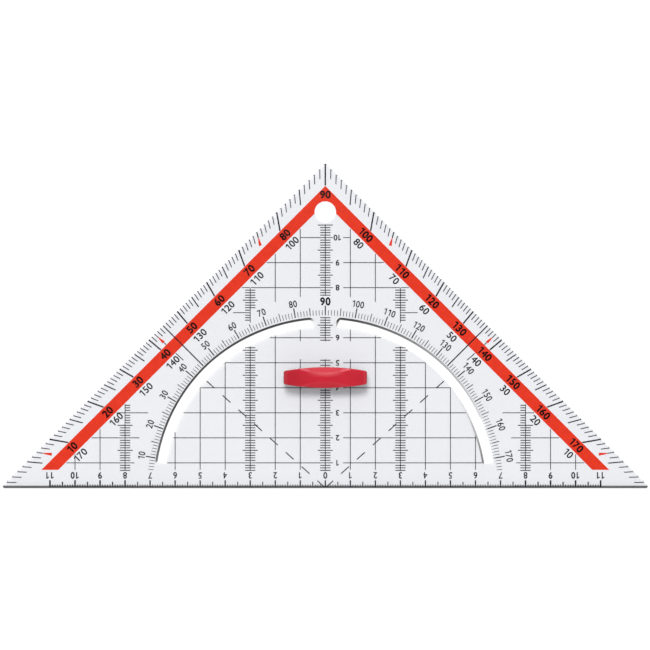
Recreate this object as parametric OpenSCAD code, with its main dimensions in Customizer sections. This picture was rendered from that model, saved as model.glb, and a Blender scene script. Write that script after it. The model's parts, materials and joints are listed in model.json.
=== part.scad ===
// Geometry triangle: clear moulded sheet, printed scales on its underside and a pull-off grip.
// Millimetres. It lies flat with the underside of the sheet at Z = 0 and the print just below it.
// The zero point of all scales is X = Y = 0 on the ruling edge, and the right angle is at +Y.

/* [Sheet] */
// Length of the ruling edge
hypotenuse = 259.4; // [220:0.1:400]
// Thickness of the moulded sheet
sheet_thickness = 2; // [1.2:0.1:4]
// Chamfer on the upper edges of the two legs
edge_chamfer = 0.15; // [0.1:0.05:0.6]
// Bevel on the upper side of the ruling edge
ruling_bevel = 0.9; // [0.3:0.05:1]
// Radius of the three corners
corner_radius = 0.6; // [0.4:0.1:3]

/* [Arc slots and hanging hole] */
// Radial width of each arc slot
slot_width = 4.1; // [2:0.1:8]
// Bare margin between the slots and the arc ticks
slot_margin = 0.6; // [0.3:0.1:1]
// Angle above the ruling edge where a slot starts
slot_start = 8.3; // [7:0.1:20]
// Angle above the ruling edge where a slot ends, beside the middle bridge
slot_end = 86.2; // [78:0.1:87]
// Radius of the outer corner at a slot's upper end
slot_corner = 1.9; // [0.5:0.1:2]
// Radius of the hanging hole
hole_radius = 4.3; // [3:0.1:5]
// Distance from the red band's inner corner down to the hanging hole's middle
hole_drop = 3.7; // [2:0.1:6]

/* [Grip] */
// Length of the grip
grip_length = 33.2; // [28:0.1:44]
// Width of the grip in the middle
grip_width = 8.3; // [7.6:0.1:10]
// Width of the grip at its ends
grip_end_width = 5.2; // [4.8:0.1:7]
// Height of the grip above the sheet
grip_height = 10; // [8:0.5:14]
// Rounding of the grip's corners
grip_corner = 1; // [0.6:0.1:1.6]
// Depth of the finger scoops at the top edge
scoop_depth = 1.4; // [0.8:0.1:2.2]
// Radius of the finger scoops
scoop_radius = 57; // [30:0.5:80]
// Distance from the zero point up to the grip's middle
grip_rise = 44.2; // [43:0.1:46]
// Radius of the two pegs under the grip
peg_radius = 2; // [1.5:0.1:2.2]
// Distance between the pegs
peg_spacing = 25; // [24:0.5:27]
// Running clearance round each peg
peg_clearance = 0.05; // [0.03:0.01:0.1]

/* [Red band] */
// Thickness of every printed film
ink = 0.05; // [0.03:0.01:0.1]
// Distance of the red band from the leg edges
band_inset = 6.4; // [6:0.1:9]
// Width of the red band
band_width = 4.8; // [4:0.1:6]
// Height where the band, the grid and the upright rules start
print_foot = 7.2; // [6:0.1:9]
// Width of the red angle markers at their foot
marker_width = 1.2; // [0.8:0.1:2]
// Width of the red angle markers at their tip
marker_tip = 0.4; // [0.2:0.1:0.6]

/* [Protractor] */
// Room between the red band and the arc ticks, for two rows of numerals
label_room = 7.7; // [6:0.1:10]
// Length of the ten degree ticks on the arc
arc_ten = 3.9; // [3:0.1:4.5]
// Length of the five degree ticks on the arc
arc_five = 3.1; // [2.6:0.1:3.4]
// Length of the one degree ticks on the arc
arc_one = 2.15; // [1.5:0.05:2.5]
// Length of the five degree ticks on the legs
leg_five = 4.7; // [3.6:0.1:5]
// Length of the one degree ticks on the legs
leg_one = 2.8; // [2:0.05:3]
// Angles of the red markers above the ruling edge
marker_angles = [7, 42, 75];

/* [Rules and grid] */
// Length of the centimetre ticks on the ruling edge
base_ten = 2.75; // [2:0.05:3.2]
// Length of the five millimetre ticks on the ruling edge
base_five = 2.15; // [1.6:0.05:2.4]
// Length of the millimetre ticks on the ruling edge
base_one = 1; // [0.8:0.05:1.5]
// Distance from the zero point where the ticks on the ruling edge turn bolder
bold_reach = 75; // [40:1:120]
// Half length of the five millimetre ticks on the upright rules
rule_five = 3; // [2.4:0.1:3.4]
// Half length of the millimetre ticks on the upright rules
rule_one = 2.05; // [1.4:0.05:2.3]
// Pitch of the dashes on the two dashed rays
dash_pitch = 8.5; // [7:0.1:11]

/* [Line widths] */
// Grid lines and the spines of the upright rules
grid_line = 0.3; // [0.15:0.01:0.4]
// Ticks of the upright rules
rule_line = 0.35; // [0.15:0.01:0.4]
// Millimetre ticks on the ruling edge
base_line = 0.34; // [0.15:0.01:0.4]
// Five millimetre ticks on the ruling edge
base_five_line = 0.39; // [0.2:0.01:0.5]
// Centimetre ticks on the ruling edge
base_ten_line = 0.54; // [0.25:0.01:0.6]
// How much wider the bolder ticks on the ruling edge are
bold_extra = 0.12; // [0:0.01:0.2]
// Ten degree ticks on the legs
leg_ten_line = 0.57; // [0.25:0.01:0.7]
// Five degree ticks on the legs
leg_five_line = 0.45; // [0.2:0.01:0.5]
// One degree ticks on the legs
leg_one_line = 0.35; // [0.15:0.01:0.4]
// Ten degree ticks on the arc
arc_ten_line = 0.44; // [0.25:0.01:0.6]
// Five degree ticks on the arc
arc_five_line = 0.3; // [0.2:0.01:0.45]
// One degree ticks on the arc
arc_one_line = 0.22; // [0.15:0.01:0.4]
// Rays at 45 degrees
ray_line = 0.47; // [0.2:0.01:0.6]
// Dashed rays
dash_line = 0.4; // [0.2:0.01:0.45]
// Tick at the right angle
right_angle_line = 0.58; // [0.3:0.01:0.7]

/* [Hidden] */
$fn = 96;
root_two = sqrt(2);
through = 1;
half_base = hypotenuse / 2;
leg_distance = half_base / root_two;
// Tip of the rounded right angle
apex = half_base - corner_radius * (root_two - 1);
// Bare margin between the ruling edge and the print
print_margin = 0.3;
// Bare margin between the legs' edges and their ticks
leg_margin = 0.12;
centimetre = 10;

// The red band and what lies inside it, measured from the zero point square to a leg
band_outer = leg_distance - band_inset;
band_inner = band_outer - band_width;
band_outer_sum = band_outer * root_two;
band_inner_sum = band_inner * root_two;
tick_outer = leg_distance - leg_margin;
tick_inner_ten = band_outer + 0.12;

// The arc protractor stands on the slots
arc_outer = band_inner - label_room;
arc_inner = arc_outer - arc_ten;
slot_outer = arc_inner - slot_margin;
slot_inner = slot_outer - slot_width;
first_arc_degree = 6;

// The red pointers stand between shortened ticks and the band
pointer_tip = tick_outer - leg_one + 0.6;
pointer_foot = band_outer + 1.45;

// The hanging hole and the pegs
hole_y = band_inner_sum - hole_drop;
bore_radius = peg_radius + peg_clearance;
peg_tip = 0.15;
peg_lead = 0.3;
slit_width = 0.6;

// The three printed fields: inside the slots, outside the arc, and up to the band
inner_reach = slot_inner - 0.25;
numeral_room = 4.1;
outer_start = arc_outer + numeral_room;
field_sum = band_inner_sum - 0.45;
blank_top = slot_inner - 5.6;
blank_bottom = blank_top - 7.2;
near_rule = 30;
rule_foot = print_foot - 0.4;
far_rule = centimetre * ceil(outer_start / centimetre);
number_gap_start = 3.05;
number_gap_end = 7.15;
base_reach = centimetre * floor((half_base - 15) / centimetre);
dash_angle = marker_angles[1];
dash_length = dash_pitch / 2;
first_dash = (print_margin + 0.15) / sin(dash_angle);
stub_length = 6.9;
shortest_line = 12;

// The grip's plan: two large arcs, cut off and rounded at the ends
grip_sag = (grip_width - grip_end_width) / 2;
grip_arc = (pow(grip_length / 2, 2) + pow(grip_sag, 2)) / (2 * grip_sag);
grip_arc_shift = grip_arc - grip_width / 2;
corner_x = grip_length / 2 - grip_corner;
corner_y = sqrt(pow(grip_arc - grip_corner, 2) - pow(corner_x, 2)) - grip_arc_shift;
corner_turn = atan2(corner_y + grip_arc_shift, corner_x);
grip_top = sheet_thickness + grip_height;
grip_brow = 1.6;
scoop_lift = 58;
scoop_ball = sqrt(pow(scoop_radius, 2) + pow(scoop_lift, 2));
scoop_shift = grip_width / 2 - scoop_depth + scoop_radius;
core_length = peg_spacing - 2 * peg_radius - 5;
core_width = 3.6;
core_depth = grip_height * 0.55;

// Half chord of a circle at a height
function reach(radius, height) = sqrt(max(0, radius * radius - height * height));

// Points of an arc
function arc_points(middle, radius, from, to, steps) =
  [for (i = [0:steps]) let (a = from + (to - from) * i / steps)
    middle + radius * [cos(a), sin(a)]];

// A bar along a ray of the right-hand half, cut off square to the leg's normal
function ray_point(angle, distance, side) =
  let (along = (distance - side * sin(45 - angle)) / cos(45 - angle))
  along * [cos(angle), sin(angle)] + side * [-sin(angle), cos(angle)];
function ray_bar(angle, from, to, width) = [
  ray_point(angle, from, -width / 2),
  ray_point(angle, to, -width / 2),
  ray_point(angle, to, width / 2),
  ray_point(angle, from, width / 2)];

// Corner of a pointer's foot, square to its ray
function pointer_corner(angle, side) =
  ray_point(angle, pointer_foot, 0) + side * [-sin(angle), cos(angle)];

// Width of a protractor tick out of those for tens, fives and ones, and its inner end
function degree_width(a, widths) = a % 10 == 0 ? widths[0] : a % 5 == 0 ? widths[1] : widths[2];
function is_marked(a) = len(search(a, marker_angles)) > 0;
function leg_tick_end(a) =
  is_marked(a) ? pointer_tip + 0.1
  : a % 10 == 0 ? tick_inner_ten
  : a % 5 == 0 ? tick_outer - leg_five
  : tick_outer - leg_one;
function arc_tick_length(a) = a % 10 == 0 ? arc_ten : a % 5 == 0 ? arc_five : arc_one;

// Outline of an upright rule: a spine with ticks, each tick as [height, left length, right length]
function rule_side(ticks, side, sign) =
  [for (t = ticks) if (t[side] > 0) each [
    [sign * grid_line / 2, t[0] - sign * rule_line / 2],
    [sign * t[side], t[0] - sign * rule_line / 2],
    [sign * t[side], t[0] + sign * rule_line / 2],
    [sign * grid_line / 2, t[0] + sign * rule_line / 2]]];
function backwards(list) = [for (i = [len(list) - 1:-1:0]) list[i]];
function rule_outline(from, to, ticks) = concat(
  [[grid_line / 2, from]],
  rule_side(ticks, 2, 1),
  [[grid_line / 2, to], [-grid_line / 2, to]],
  rule_side(backwards(ticks), 1, -1),
  [[-grid_line / 2, from]]);
function rule_tick(height) = height % 5 == 0 ? rule_five : rule_one;
function rule_heights(from, to) =
  [for (h = [ceil(from + rule_line * 0.55):floor(to - rule_line * 0.55)]) if (h % centimetre != 0) h];
function even_ticks(from, to) =
  [for (h = rule_heights(from, to)) [h, rule_tick(h), rule_tick(h)]];

// Plan of the sheet with its three corners rounded
module sheet_plan() {
  base_turn = corner_radius / tan(22.5);
  apex_turn = corner_radius * root_two;
  polygon(concat(
    arc_points([half_base - base_turn, corner_radius], corner_radius, -90, 45, 9),
    arc_points([0, half_base - apex_turn], corner_radius, 45, 135, 6),
    arc_points([base_turn - half_base, corner_radius], corner_radius, 135, 270, 9)));
}

// Wedge that takes a bevel off an upper edge lying at a distance from the zero point
module edge_wedge(distance, bevel) {
  span = hypotenuse * 1.1;
  high = sheet_thickness + through;
  translate([-span / 2, -distance, 0])
    rotate([90, 0, 90])
      linear_extrude(span)
        polygon([[-through, sheet_thickness - bevel - through],
          [bevel + through, high],
          [-through, high]]);
}

// Ring segment through the sheet
module ring_cut(inner, outer, from, to) {
  rotate(from)
    rotate_extrude(angle = to - from)
      translate([inner, -through])
        square([outer - inner, sheet_thickness + 2 * through]);
}

// What a slot leaves standing at its rounded upper corner
module slot_corner_fill() {
  turn = asin(slot_corner / (slot_outer - slot_corner));
  middle = [slot_outer - slot_corner, 0];
  round = arc_points(middle, slot_corner, 0, 90 + turn, 6);
  rotate(slot_end - turn)
    translate([0, 0, -2 * through])
      linear_extrude(sheet_thickness + 4 * through)
        polygon(concat(
          [2 * round[0] - round[1]],
          [for (i = [1:5]) round[i]],
          [2 * round[6] - round[5], middle + 3 * slot_corner * [cos(45), sin(45)]]));
}

// One arc slot with its rounded upper corner
module arc_slot() {
  difference() {
    ring_cut(slot_inner, slot_outer, slot_start, slot_end);
    slot_corner_fill();
  }
}

// Clear sheet with arc slots, hanging hole and the two bores for the grip's pegs
module plate() {
  color([0.92, 0.93, 0.95, 0.45])
    difference() {
      linear_extrude(sheet_thickness) sheet_plan();
      edge_wedge(0, ruling_bevel);
      rotate(135) edge_wedge(leg_distance, edge_chamfer);
      rotate(-135) edge_wedge(leg_distance, edge_chamfer);
      arc_slot();
      mirror([1, 0, 0]) arc_slot();
      translate([0, hole_y, -through])
        cylinder(h = sheet_thickness + 2 * through, r = hole_radius);
      for (side = [-1, 1])
        translate([side * peg_spacing / 2, grip_rise, -through])
          cylinder(h = sheet_thickness + 2 * through, r = bore_radius);
    }
}

// Plan of the grip's ends: everything but the four corners that are rounded away
module grip_ends() {
  corner = arc_points([corner_x, corner_y], grip_corner, 0, corner_turn, 8);
  clear = concat(corner, [[corner[8][0], grip_width]]);
  right = concat([for (p = backwards(clear)) [p[0], -p[1]]], clear);
  polygon(concat(right, [for (p = backwards(right)) [-p[0], p[1]]]));
}

// Side view of the grip with its upper ends rounded
module grip_side() {
  half = grip_length / 2;
  brow = arc_points([half - grip_brow, grip_height - grip_brow], grip_brow, 0, 90, 8);
  polygon(concat([[-half, 0], [half, 0]], brow, [for (p = backwards(brow)) [-p[0], p[1]]]));
}

// One peg with a lead at its tip and a slit that lets it spring
module peg() {
  difference() {
    union() {
      translate([0, 0, peg_tip])
        cylinder(h = peg_lead, r1 = peg_radius - peg_lead, r2 = peg_radius);
      translate([0, 0, peg_tip + peg_lead])
        cylinder(h = sheet_thickness - peg_tip - peg_lead + through, r = peg_radius);
    }
    translate([-slit_width / 2, -2 * peg_radius, 0])
      cube([slit_width, 4 * peg_radius, sheet_thickness]);
  }
}

// Moulded grip: waisted by two finger scoops, cored from below, with two pegs
module grip() {
  color([0.80, 0.13, 0.20])
    translate([0, grip_rise, 0]) {
      difference() {
        intersection() {
          translate([0, 0, sheet_thickness])
            linear_extrude(grip_height)
              intersection() {
                translate([0, -grip_arc_shift]) circle(grip_arc);
                translate([0, grip_arc_shift]) circle(grip_arc);
                grip_ends();
              }
          translate([0, grip_width, sheet_thickness])
            rotate([90, 0, 0])
              linear_extrude(2 * grip_width) grip_side();
        }
        for (side = [-1, 1])
          translate([0, side * scoop_shift, grip_top + scoop_lift])
            sphere(scoop_ball);
        translate([-core_length / 2, -core_width / 2, sheet_thickness - through])
          cube([core_length, core_width, core_depth + through]);
      }
      for (side = [-1, 1])
        translate([side * peg_spacing / 2, 0, 0]) peg();
    }
}

// A printed film on the underside
module film() {
  translate([0, 0, -ink]) linear_extrude(ink) children();
}

// Straight lines of the print
module level_line(height, from, to) {
  translate([from, height - grid_line / 2]) square([to - from, grid_line]);
}
module upright_line(across, from, to) {
  translate([across - grid_line / 2, from]) square([grid_line, to - from]);
}

// Plan of the band's right-hand half, open for the hanging hole and the middle ray
module band_plan() {
  difference() {
    polygon([[band_inner_sum - print_foot, print_foot],
      [band_outer_sum - print_foot, print_foot],
      [0, band_outer_sum],
      [0, band_inner_sum]]);
    translate([0, hole_y]) circle(hole_radius);
    polygon(ray_bar(45, band_inner - through, band_outer + through, ray_line));
  }
}

// Red band along the right leg
module right_band() {
  color([0.90, 0.22, 0.15]) film() band_plan();
}

// Red band along the left leg
module left_band() {
  color([0.90, 0.22, 0.15]) film() mirror([1, 0]) band_plan();
}

// Red pointers at the marked angles
module marker_plan() {
  for (a = marker_angles)
    polygon([ray_point(a, pointer_tip, -marker_tip / 2),
      ray_point(a, pointer_tip, marker_tip / 2),
      pointer_corner(a, marker_width / 2),
      pointer_corner(a, -marker_width / 2)]);
}
module angle_markers() {
  color([0.88, 0.16, 0.12])
    film() {
      marker_plan();
      mirror([1, 0]) marker_plan();
    }
}

// Millimetre ticks along the ruling edge
module base_tick_plan(from, to) {
  for (x = [from:to]) {
    length = x % centimetre == 0 ? base_ten : x % 5 == 0 ? base_five : base_one;
    line = x % centimetre == 0 ? base_ten_line : x % 5 == 0 ? base_five_line : base_line;
    width = line + (abs(x) > bold_reach ? bold_extra : 0);
    translate([x - width / 2, print_margin]) square([width, length]);
  }
}
module base_ticks() {
  color([0.10, 0.10, 0.11]) film() base_tick_plan(-base_reach, base_reach);
}

// Upright rule on the middle line, in three runs
module centre_rule() {
  low = [rule_foot, blank_bottom];
  mid = [blank_top, arc_inner - 2 * print_margin];
  top = [outer_start - 0.15, hole_y - hole_radius - 2 * print_margin];
  color([0.10, 0.10, 0.11])
    film()
      for (run = [low, mid, top])
        if (run[1] - run[0] > rule_five)
          polygon(rule_outline(run[0], run[1], even_ticks(run[0], run[1])));
}

// Upright rules at three centimetres on each side, below and above the arc slots
module near_rule_plan() {
  low_end = reach(inner_reach, near_rule);
  high_start = reach(arc_outer - print_margin, near_rule);
  high_end = centimetre * floor((field_sum - near_rule) / centimetre) - grid_line / 2;
  crowded = reach(outer_start, near_rule - rule_one);
  translate([near_rule, 0]) {
    polygon(rule_outline(rule_foot, low_end, even_ticks(rule_foot, low_end)));
    if (high_end - high_start > rule_five)
      polygon(rule_outline(high_start, high_end,
        [for (h = rule_heights(high_start, high_end))
          [h, h < crowded ? 0 : rule_tick(h), rule_tick(h)]]));
  }
}
module near_rules() {
  color([0.10, 0.10, 0.11])
    film() {
      near_rule_plan();
      mirror([1, 0]) near_rule_plan();
    }
}

// Upright rules outside the arc, beside the numerals next to the band
module far_rule_plan() {
  top = field_sum - far_rule;
  crowded = top - label_room;
  if (top - rule_foot > rule_five)
    translate([far_rule, 0])
      polygon(rule_outline(rule_foot, top,
        [for (h = rule_heights(rule_foot, top))
          [h, rule_tick(h), h > crowded ? 0 : rule_tick(h)]]));
}
module far_rules() {
  color([0.10, 0.10, 0.11])
    film() {
      far_rule_plan();
      mirror([1, 0]) far_rule_plan();
    }
}

// Centimetre grid of one half, in the fields inside the slots and outside the arc
module grid_half() {
  inside = inner_reach - rule_five;
  for (y = [centimetre:centimetre:inside])
    level_line(y, 0, reach(inner_reach, y));
  for (y = [centimetre:centimetre:outer_start]) {
    start = reach(outer_start, y);
    if (field_sum - y - start > shortest_line)
      level_line(y, start, field_sum - y);
  }
  level_line(centimetre * floor(outer_start / centimetre), near_rule, near_rule + stub_length);
  for (y = [centimetre * ceil(outer_start / centimetre):centimetre:field_sum - centimetre])
    level_line(y, 0, field_sum - y > 1.5 * centimetre ? field_sum - y : centimetre);
  for (x = [centimetre:centimetre:inside])
    if (x != near_rule)
      upright_line(x, print_foot, reach(inner_reach, x));
  for (x = [centimetre:centimetre:near_rule - centimetre])
    upright_line(x, reach(outer_start, x), field_sum - x);
  for (x = [far_rule + centimetre:centimetre:field_sum - print_foot - rule_five])
    upright_line(x, print_foot, field_sum - x);
}

// Spines of all upright rules and the bare places that the grid keeps clear
module rule_spines() {
  for (x = [-far_rule, -near_rule, 0, near_rule, far_rule])
    upright_line(x, 0, half_base);
}
module grid_gaps() {
  translate([number_gap_start, 0]) square([number_gap_end - number_gap_start, half_base]);
  translate([-centimetre - 1, blank_bottom]) square([2 * centimetre + 2, blank_top - blank_bottom]);
}
module grid_lines() {
  color([0.13, 0.14, 0.16])
    film()
      difference() {
        union() {
          grid_half();
          mirror([1, 0]) grid_half();
        }
        rule_spines();
        grid_gaps();
      }
}

// Dashed rays inside the slots, open where ticks, grid lines and rules cross them
module dash_half() {
  rotate(dash_angle) {
    translate([first_dash, -dash_line / 2]) square([dash_length - first_dash, dash_line]);
    for (start = [dash_pitch:dash_pitch:inner_reach - dash_length])
      translate([start, -dash_line / 2]) square([dash_length, dash_line]);
  }
}
module dashed_rays() {
  color([0.13, 0.14, 0.16])
    film()
      difference() {
        union() {
          dash_half();
          mirror([1, 0]) dash_half();
        }
        grid_half();
        mirror([1, 0]) grid_half();
        near_rule_plan();
        mirror([1, 0]) near_rule_plan();
        base_tick_plan(-5, 5);
      }
}

// Degree ticks on the arc above the slots
module arc_ticks() {
  color([0.12, 0.12, 0.13])
    film()
      for (a = [first_arc_degree:180 - first_arc_degree])
        if (a != 45 && a != 135) {
          width = degree_width(a, [arc_ten_line, arc_five_line, arc_one_line]);
          rotate(a)
            translate([arc_inner, -width / 2])
              square([arc_tick_length(a), width]);
        }
}

// Degree ticks along one leg
module leg_tick_half() {
  for (a = [1:89])
    if (a != 45)
      polygon(ray_bar(a, leg_tick_end(a), tick_outer,
        degree_width(a, [leg_ten_line, leg_five_line, leg_one_line])));
}
module right_leg_ticks() {
  color([0.10, 0.10, 0.11]) film() leg_tick_half();
}

// Degree ticks along the left leg, with the one at the right angle
module left_leg_ticks() {
  color([0.10, 0.10, 0.11])
    film() {
      mirror([1, 0]) leg_tick_half();
      translate([-right_angle_line / 2, tick_inner_ten * root_two])
        square([right_angle_line, apex - leg_margin - tick_inner_ten * root_two]);
    }
}

// Rays at 45 degrees from leg to arc, and short marks on the rays of the middle pointers
module ray_half() {
  polygon(ray_bar(45, arc_inner, tick_outer, ray_line));
  polygon(ray_bar(dash_angle, tick_inner_ten, pointer_foot - 0.1, leg_one_line));
  polygon(ray_bar(dash_angle, band_inner - 4.4, band_inner - print_margin, leg_one_line));
}
module ray_lines() {
  color([0.12, 0.12, 0.13])
    film() {
      ray_half();
      mirror([1, 0]) ray_half();
    }
}

plate();
grip();
left_band();
right_band();
angle_markers();
base_ticks();
centre_rule();
near_rules();
far_rules();
grid_lines();
dashed_rays();
arc_ticks();
left_leg_ticks();
right_leg_ticks();
ray_lines();
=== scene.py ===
"""Looks of a geometry triangle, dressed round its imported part.

A clear moulded sheet carries printed scales on its underside, and a red grip plugs into it.
Metres throughout. The sheet's underside is at Z = 0, the zero point of the scales is at X = Y = 0
and the right angle points along +Y.
"""

import json
import math

import bmesh
import bpy
from bpy.props import FloatProperty, FloatVectorProperty, PointerProperty
from mathutils import Matrix, Vector


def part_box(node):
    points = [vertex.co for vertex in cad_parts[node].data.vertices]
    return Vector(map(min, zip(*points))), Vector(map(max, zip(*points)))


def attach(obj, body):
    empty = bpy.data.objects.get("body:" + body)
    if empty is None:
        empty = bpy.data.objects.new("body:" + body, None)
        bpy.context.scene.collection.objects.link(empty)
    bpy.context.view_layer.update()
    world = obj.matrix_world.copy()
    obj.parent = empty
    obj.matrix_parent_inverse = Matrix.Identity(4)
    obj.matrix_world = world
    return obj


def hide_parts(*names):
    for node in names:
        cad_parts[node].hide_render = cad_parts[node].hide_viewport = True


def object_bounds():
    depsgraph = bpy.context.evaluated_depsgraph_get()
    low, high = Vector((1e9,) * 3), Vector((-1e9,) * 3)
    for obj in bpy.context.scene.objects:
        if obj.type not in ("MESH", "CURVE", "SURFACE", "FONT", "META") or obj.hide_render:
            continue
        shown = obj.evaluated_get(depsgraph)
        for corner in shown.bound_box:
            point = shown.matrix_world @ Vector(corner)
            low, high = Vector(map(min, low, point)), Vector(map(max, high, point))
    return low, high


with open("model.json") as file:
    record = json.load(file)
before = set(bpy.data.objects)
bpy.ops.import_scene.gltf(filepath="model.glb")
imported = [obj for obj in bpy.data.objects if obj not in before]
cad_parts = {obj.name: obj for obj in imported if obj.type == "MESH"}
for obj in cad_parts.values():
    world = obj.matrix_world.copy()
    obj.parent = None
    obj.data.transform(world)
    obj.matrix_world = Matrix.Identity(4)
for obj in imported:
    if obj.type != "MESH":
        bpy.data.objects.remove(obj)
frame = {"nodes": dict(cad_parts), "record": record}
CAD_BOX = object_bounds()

bl_info = {
    "name": "Geometry triangle looks",
    "version": (1, 0, 0),
    "blender": (4, 5, 0),
    "location": "View3D > Sidebar > Triangle",
    "description": "Makes the sheet, the numerals and the grip of a geometry triangle, and lights them",
    "category": "Object",
}

MM = 0.001
ROOT_TWO = math.sqrt(2)
WHITE = (1.0, 1.0, 1.0)

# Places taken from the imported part
SHEET_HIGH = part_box("plate")[1]
GRIP_LOW, GRIP_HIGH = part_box("grip")
GRIP_TALL = GRIP_HIGH.z - SHEET_HIGH.z
GRIP_HALF = (GRIP_HIGH.x - GRIP_LOW.x) / 2
GRIP_MIDDLE = (GRIP_LOW.y + GRIP_HIGH.y) / 2
FILM_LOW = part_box("right_band")[0].z
BAND_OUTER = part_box("right_band")[1].y / ROOT_TWO
ARC_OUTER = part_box("arc_ticks")[1].y
HOLE = next(mount for mount in frame["record"]["mounts"] if mount["name"] == "hanging_hole")
BLACK_NODES = ("base_ticks", "centre_rule", "near_rules", "far_rules", "grid_lines", "dashed_rays",
               "arc_ticks", "left_leg_ticks", "right_leg_ticks", "ray_lines")
RED_NODES = ("left_band", "right_band", "angle_markers")

# Sheet: its corners, its softened edges, how far a face must tilt to count as the ruling bevel, and how many
# steps its curves take
CORNER = 0.6 * MM
LEAST_CORNER = 0.02 * MM
LEAST_TURN = 0.01
SOFT_EDGE = 0.06 * MM
BEVEL_TILT = 0.3
CORNER_STEPS = 9
TIP_STEPS = 8
HOLE_STEPS = 72
BORE_STEPS = 48
SLOT_STEPS = 90
BEND_STEPS = 12
# Slots: degrees between which the outer walls change to their top form, and how turned walls take painted
# shade
WALL_CHANGE = (42.0, 72.0)
SHADE_START = 0.12
SHADE_SPAN = 0.9
UNSHADED_WALL = 0.03
INNER_SHADE = 1.6
INNER_FLARE = 2
INNER_LEAN = 0.05 * MM
# Numerals: what each point of a row carries, and the line along each leg where the rays are set off
DIGIT_FIELDS = (("digit", "INT"), ("turn", "FLOAT"), ("height", "FLOAT"), ("gain", "FLOAT"),
                ("width", "FLOAT"))
LABEL_LINE = 85.9 * MM
CENTIMETRE = 10 * MM
BOLD_BASE = 9
# Figures printed off their rays, by side and ray: how many millimetres up their leg they stand
BAND_OFF = {(1, 10): 1.4, (1, 40): 0.45, (1, 50): -0.3, (1, 60): -0.35, (1, 70): -0.45}
ROW_OFF = {(1, 10): 1.9, (1, 20): 0.35, (1, 30): 0.4, (1, 40): 1.2,
           (-1, 10): -0.4, (-1, 20): -0.3, (-1, 30): -0.5, (-1, 40): -0.8,
           (-1, 50): -0.5, (-1, 60): -0.3, (-1, 70): -0.9, (-1, 80): -1.1}
# Grip: its mesh, its gap above the sheet, its soft ridges and the share of its height where the crown starts
GRIP_COLUMNS = 150
GRIP_ROWS = 14
FOOT_STEPS = 4
SIDE_STEPS = 44
BROW_STEPS = 24
END_STEPS = 8
CORE_STEPS = 5
PEG_STEPS = 24
GRIP_SEAT = SHEET_HIGH.z + 0.005 * MM
RIDGE_SOFT = 0.6 * MM
CROWN_START = 0.8
CORE_HALF_LENGTH = 8.0 * MM
CORE_HALF_WIDTH = 1.8 * MM
CORE_CORNER = 0.4 * MM
CORE_DEPTH = 5.5 * MM
PEG_LEAD = 0.3 * MM
PEG_ROOT = 0.4 * MM
# Rub and painted glints of the grip: where the glints on the crests start, are full, fade and end, the rub
# of edges and ends, and the near side's share of glint
CREST_GLINT = (5 * MM, 7.5 * MM, 9 * MM, 10.5 * MM)
EDGE_RUB = 0.05
END_RUB = 0.6
NEAR_HIGHLIGHT_SHARE = 0.1
# Stage: the floor, the heights between which the mirrored fill dims, and the key's mirrored glow
FLOOR_RADIUS = 4.0
FLOOR_STEPS = 96
FLOOR_GAP = 0.01 * MM
OVERHEAD = (0.93, 0.99)
GLOW = (math.cos(math.radians(18)), math.cos(math.radians(3)))


# Settings

def length(name, description, default):
    """A length in metres."""
    return FloatProperty(name=name, description=description, default=default, unit="LENGTH", precision=6)


def angle(name, description, degrees):
    """An angle, given in degrees."""
    return FloatProperty(name=name, description=description, default=math.radians(degrees),
                         subtype="ANGLE")


def tone(name, description, default):
    """A colour."""
    return FloatVectorProperty(name=name, description=description, default=default, size=3,
                               subtype="COLOR", min=0.0, max=1.0)


def factor(name, description, default):
    """A plain factor."""
    return FloatProperty(name=name, description=description, default=default, subtype="FACTOR")


def strength(name, description, default):
    """The strength of a light."""
    return FloatProperty(name=name, description=description, default=default)


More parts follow.
